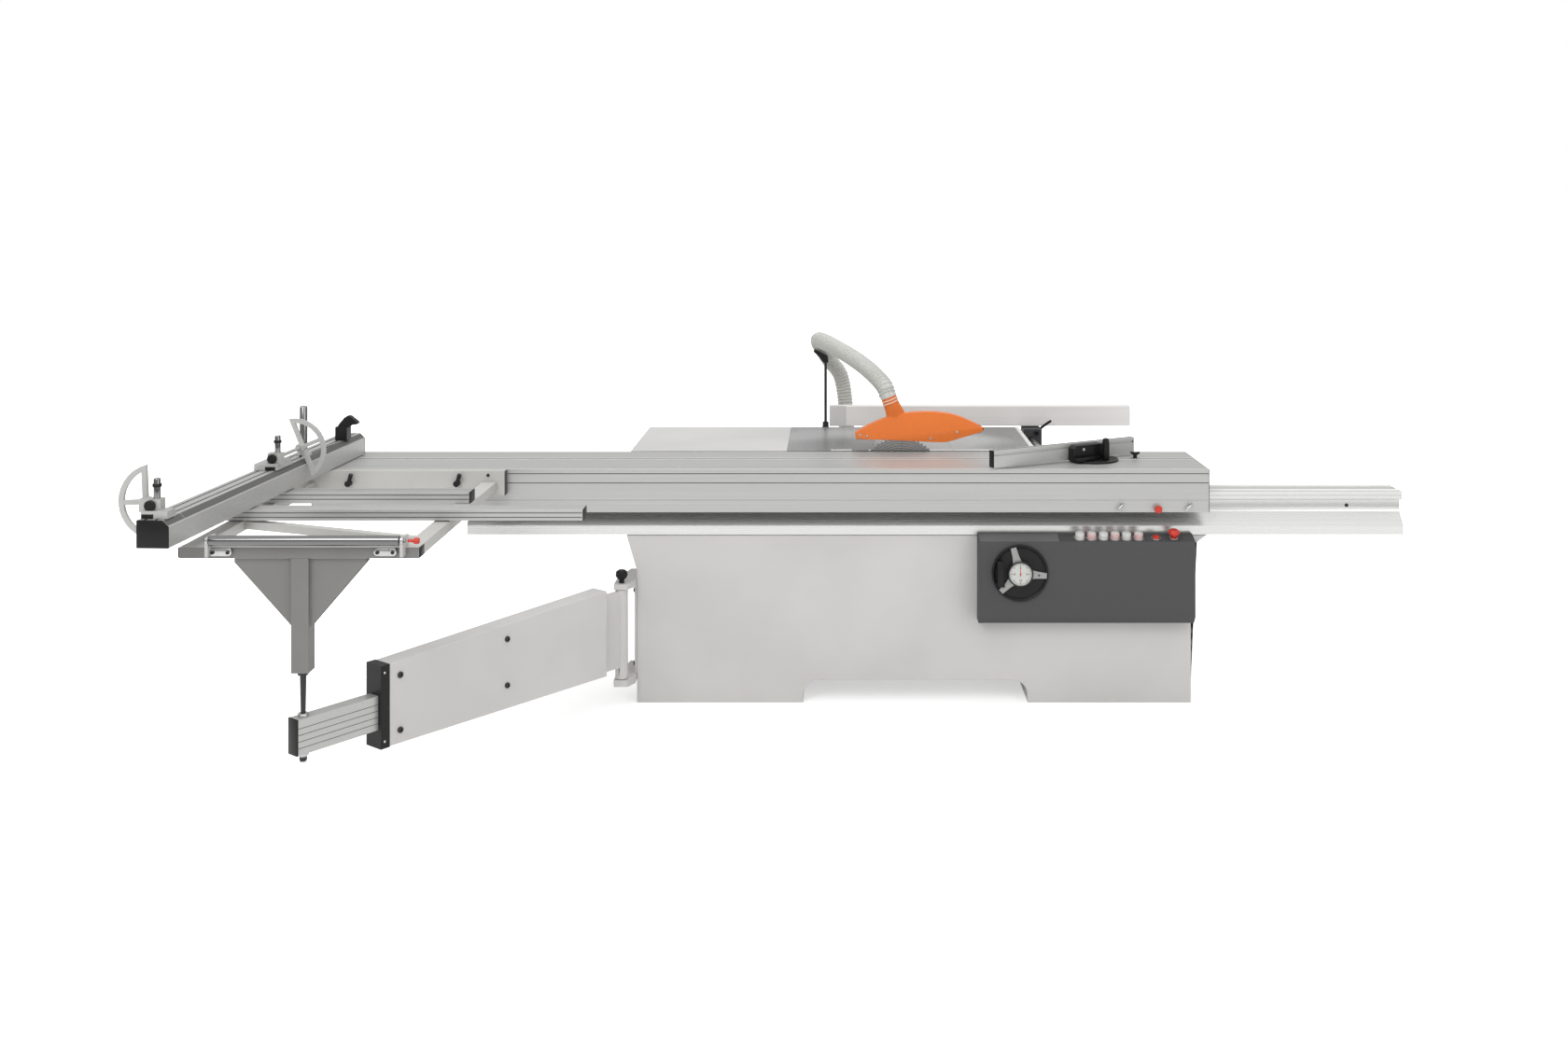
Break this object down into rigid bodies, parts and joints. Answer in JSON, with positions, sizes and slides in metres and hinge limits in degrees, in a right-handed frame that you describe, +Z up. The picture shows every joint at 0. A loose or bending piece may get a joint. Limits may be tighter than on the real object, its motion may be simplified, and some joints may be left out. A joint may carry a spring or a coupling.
{
  "type": "sliding table panel saw",
  "caption": "Sliding table panel saw with a long aluminium table, outrigger with crosscut fence, swing arm, tilting saw unit, guard, rip fence and control box.",
  "frame": {"origin": "middle of the bounding box's footprint, at floor level", "axes": "+X along the sliding table to the right of someone who stands at the operator's side, +Y away from the operator's side towards the rip fence, +Z up"},
  "size_m": [4.0657, 2.4375, 1.2542],
  "materials": {
    "body_paint": "satin warm light grey paint",
    "dark_paint": "fine textured dark grey paint",
    "cast_iron": "ground surface",
    "aluminium": "satin anodised extrusion",
    "steel": "bright ground steel",
    "black_steel": "black oxide",
    "black_plastic": "matte black",
    "orange_paint": "satin orange paint",
    "red_plastic": "gloss red",
    "clear_plastic": "clear white cap",
    "pink_plastic": "tinted clear cap",
    "hose_plastic": "ribbed grey hose",
    "belt_rubber": "matte"
  },
  "bodies": {
    "machine": {"cabinet": "body_paint", "cabinet_front": "body_paint", "cabinet_floor": "body_paint", "control_box": "dark_paint", "guide_rail": "aluminium", "cast_iron_table": "cast_iron", "outfeed_table": "body_paint", "rip_guide_bar": "steel", "arm_bracket": "body_paint", "hose_post": "black_plastic", "hose_saddle": "black_plastic", "dust_hose": "hose_plastic", "dust_port": "dark_paint", "trunnion_left": "cast_iron", "trunnion_right": "cast_iron"},
    "tilt_unit": {"tilt_cradle": "cast_iron"},
    "lift_unit": {"lift_carriage": "cast_iron", "motor": "dark_paint", "drive_belt": "belt_rubber", "riving_knife": "steel"},
    "guard": {"blade_guard": "orange_paint"},
    "motor_spindle": {"motor_pulley": "cast_iron"},
    "saw_spindle": {"saw_arbor": "steel", "saw_blade": "steel"},
    "scoring_spindle": {"scoring_blade": "steel"},
    "handwheel": {"tilt_handwheel": "black_plastic"},
    "grip": {"handwheel_grip": "black_plastic"},
    "table": {"sliding_table": "aluminium", "outrigger_frame": "body_paint", "outrigger_post": "body_paint", "post_rod": "black_steel", "mid_beam": "aluminium"},
    "lock_knob": {"table_lock_knob": "red_plastic"},
    "carriage": {"roller_carriage": "dark_paint"},
    "roller": {"edge_roller": "steel"},
    "extension": {"extension_bar": "aluminium"},
    "lever_left": {"clamp_lever_left": "black_plastic"},
    "lever_right": {"clamp_lever_right": "black_plastic"},
    "fence": {"crosscut_fence": "aluminium"},
    "fence_end": {"fence_extension": "aluminium"},
    "near_block": {"stop_block_near": "aluminium"},
    "near_ring": {"stop_ring_near": "aluminium"},
    "far_block": {"stop_block_far": "aluminium"},
    "far_ring": {"stop_ring_far": "aluminium"},
    "hold_down": {"hold_down_lever": "black_plastic"},
    "mitre": {"mitre_head": "black_plastic"},
    "mitre_rule": {"mitre_bar": "aluminium"},
    "arm": {"swing_arm": "body_paint"},
    "arm_beam": {"inner_beam": "aluminium"},
    "arm_knob": {"arm_lock_knob": "black_plastic"},
    "rip_carrier": {"rip_head": "dark_paint"},
    "rip_rule": {"rip_fence": "aluminium"},
    "push_button_1_body": {"push_button_1": "clear_plastic"},
    "push_button_2_body": {"push_button_2": "pink_plastic"},
    "push_button_3_body": {"push_button_3": "clear_plastic"},
    "push_button_4_body": {"push_button_4": "pink_plastic"},
    "push_button_5_body": {"push_button_5": "clear_plastic"},
    "push_button_6_body": {"push_button_6": "pink_plastic"},
    "stop_button_body": {"stop_button": "red_plastic"},
    "emergency_stop_body": {"emergency_stop": "red_plastic"}
  },
  "joints": [
    {"name": "table_travel", "type": "slide", "parent": "machine", "child": "table", "axis": [1, 0, 0], "range_m": [-0.78, 2.1]},
    {"name": "carriage_roll", "type": "slide", "parent": "machine", "child": "carriage", "axis": [1, 0, 0], "range_m": [-0.4, 1.06]},
    {"name": "arm_swing", "type": "hinge", "parent": "machine", "child": "arm", "pos_m": [-0.7742, -0.0004, 0.27], "axis": [0, 0, 1], "range_deg": [-28.5, 75.5]},
    {"name": "arm_telescope", "type": "slide", "parent": "arm", "child": "arm_beam", "axis": [-0.6151, -0.7884, 0], "range_m": [-0.21, 0.57]},
    {"name": "arm_lock_turn", "type": "hinge", "parent": "machine", "child": "arm_knob", "pos_m": [-0.7742, -0.0004, 0.4475], "axis": [0, 0, 1], "range_deg": [-90, 90]},
    {"name": "roller_spin", "type": "hinge", "parent": "table", "child": "roller", "pos_m": [-1.5377, -1.0504, 0.8355], "axis": [1, 0, 0], "continuous": true},
    {"name": "extension_slide", "type": "slide", "parent": "table", "child": "extension", "axis": [1, 0, 0], "range_m": [-0.3, 0.3]},
    {"name": "clamp_left_turn", "type": "hinge", "parent": "table", "child": "lever_left", "pos_m": [-1.7362, -0.0404, 0.808], "axis": [0, 1, 0], "range_deg": [-60, 60]},
    {"name": "clamp_right_turn", "type": "hinge", "parent": "table", "child": "lever_right", "pos_m": [-1.3522, -0.0404, 0.808], "axis": [0, 1, 0], "range_deg": [-60, 60]},
    {"name": "fence_swing", "type": "hinge", "parent": "table", "child": "fence", "pos_m": [-1.8358, 0.2603, 0.853], "axis": [0, 0, 1], "range_deg": [-45, 45]},
    {"name": "fence_extend", "type": "slide", "parent": "fence", "child": "fence_end", "axis": [-0.0436, -0.9991, 0], "range_m": [0, 0.9]},
    {"name": "near_stop_slide", "type": "slide", "parent": "fence_end", "child": "near_block", "axis": [0.0436, 0.9991, 0], "range_m": [0, 0.06]},
    {"name": "near_stop_flip", "type": "hinge", "parent": "near_block", "child": "near_ring", "pos_m": [-1.94781, -1.13815, 0.966], "axis": [0.0436, 0.9991, 0], "range_deg": [0, 70]},
    {"name": "far_stop_slide", "type": "slide", "parent": "fence", "child": "far_block", "axis": [0.0436, 0.9991, 0], "range_m": [-0.62, 0]},
    {"name": "far_stop_flip", "type": "hinge", "parent": "far_block", "child": "far_ring", "pos_m": [-1.83533, -0.23419, 0.9685], "axis": [0.0436, 0.9991, 0], "range_deg": [-60, 0]},
    {"name": "hold_down_turn", "type": "hinge", "parent": "fence", "child": "hold_down", "pos_m": [-1.82174, 0.1696, 0.94], "axis": [0, 0, 1], "range_deg": [-90, 90]},
    {"name": "mitre_slide", "type": "slide", "parent": "table", "child": "mitre", "axis": [1, 0, 0], "range_m": [-0.9, 0.15]},
    {"name": "mitre_swivel", "type": "hinge", "parent": "mitre", "child": "mitre_rule", "pos_m": [0.9208, 0.1996, 0.8515], "axis": [0, 0, 1], "range_deg": [-29, 29]},
    {"name": "table_lock_turn", "type": "hinge", "parent": "table", "child": "lock_knob", "pos_m": [1.1378, 0.0096, 0.71], "axis": [0, 1, 0], "range_deg": [-90, 90]},
    {"name": "saw_tilt", "type": "hinge", "parent": "machine", "child": "tilt_unit", "pos_m": [0.2363, 0.393, 0.85], "axis": [-1, 0, 0], "range_deg": [0, 45], "deforming": ["dust_hose"]},
    {"name": "handwheel_turn", "type": "hinge", "parent": "machine", "child": "handwheel", "pos_m": [0.6428, -0.0249, 0.488], "axis": [0, 1, 0], "range_deg": [-5, 1085]},
    {"name": "grip_fold", "type": "hinge", "parent": "handwheel", "child": "grip", "pos_m": [0.5708, -0.0474, 0.448], "axis": [1, 0, 0], "range_deg": [0, 90]},
    {"name": "saw_lift", "type": "slide", "parent": "tilt_unit", "child": "lift_unit", "axis": [0, 0, 1], "range_m": [-0.03, 0.03], "deforming": ["dust_hose"]},
    {"name": "guard_height", "type": "slide", "parent": "lift_unit", "child": "guard", "axis": [0, 0, 1], "range_m": [0, 0.04], "deforming": ["dust_hose"]},
    {"name": "arbor_spin", "type": "hinge", "parent": "lift_unit", "child": "saw_spindle", "pos_m": [0.2363, 0.3946, 0.747], "axis": [0, 1, 0], "continuous": true},
    {"name": "motor_spin", "type": "hinge", "parent": "lift_unit", "child": "motor_spindle", "pos_m": [0.2363, 0.4696, 0.53], "axis": [0, 1, 0], "continuous": true},
    {"name": "scoring_spin", "type": "hinge", "parent": "tilt_unit", "child": "scoring_spindle", "pos_m": [0.4708, 0.3946, 0.788], "axis": [0, 1, 0], "continuous": true},
    {"name": "push_button_1_press", "type": "slide", "parent": "machine", "child": "push_button_1_body", "axis": [0, 0.304, -0.9527], "range_m": [0, 0.004], "stiffness_N_per_m": 800, "springref_m": -0.001},
    {"name": "push_button_2_press", "type": "slide", "parent": "machine", "child": "push_button_2_body", "axis": [0, 0.304, -0.9527], "range_m": [0, 0.004], "stiffness_N_per_m": 800, "springref_m": -0.001},
    {"name": "push_button_3_press", "type": "slide", "parent": "machine", "child": "push_button_3_body", "axis": [0, 0.304, -0.9527], "range_m": [0, 0.004], "stiffness_N_per_m": 800, "springref_m": -0.001},
    {"name": "push_button_4_press", "type": "slide", "parent": "machine", "child": "push_button_4_body", "axis": [0, 0.304, -0.9527], "range_m": [0, 0.004], "stiffness_N_per_m": 800, "springref_m": -0.001},
    {"name": "push_button_5_press", "type": "slide", "parent": "machine", "child": "push_button_5_body", "axis": [0, 0.304, -0.9527], "range_m": [0, 0.004], "stiffness_N_per_m": 800, "springref_m": -0.001},
    {"name": "push_button_6_press", "type": "slide", "parent": "machine", "child": "push_button_6_body", "axis": [0, 0.304, -0.9527], "range_m": [0, 0.004], "stiffness_N_per_m": 800, "springref_m": -0.001},
    {"name": "stop_button_press", "type": "slide", "parent": "machine", "child": "stop_button_body", "axis": [0, 0.304, -0.9527], "range_m": [0, 0.004], "stiffness_N_per_m": 800, "springref_m": -0.001},
    {"name": "emergency_stop_press", "type": "slide", "parent": "machine", "child": "emergency_stop_body", "axis": [0, 0.304, -0.9527], "range_m": [0, 0.004], "stiffness_N_per_m": 800, "springref_m": -0.001},
    {"name": "rip_head_slide", "type": "slide", "parent": "machine", "child": "rip_carrier", "axis": [0, 1, 0], "range_m": [-0.56, 0.03]},
    {"name": "rip_fence_slide", "type": "slide", "parent": "rip_carrier", "child": "rip_rule", "axis": [1, 0, 0], "range_m": [0, 0.35]}
  ],
  "couplings": [
    {"joint": "carriage_roll", "follows": "table_travel", "ratio": 0.5},
    {"joint": "arm_swing", "follows": "table_travel", "rad_per_m": 0.62},
    {"joint": "handwheel_turn", "follows": "saw_tilt", "ratio": 24},
    {"joint": "motor_spin", "follows": "arbor_spin", "ratio": 0.71111}
  ]
}
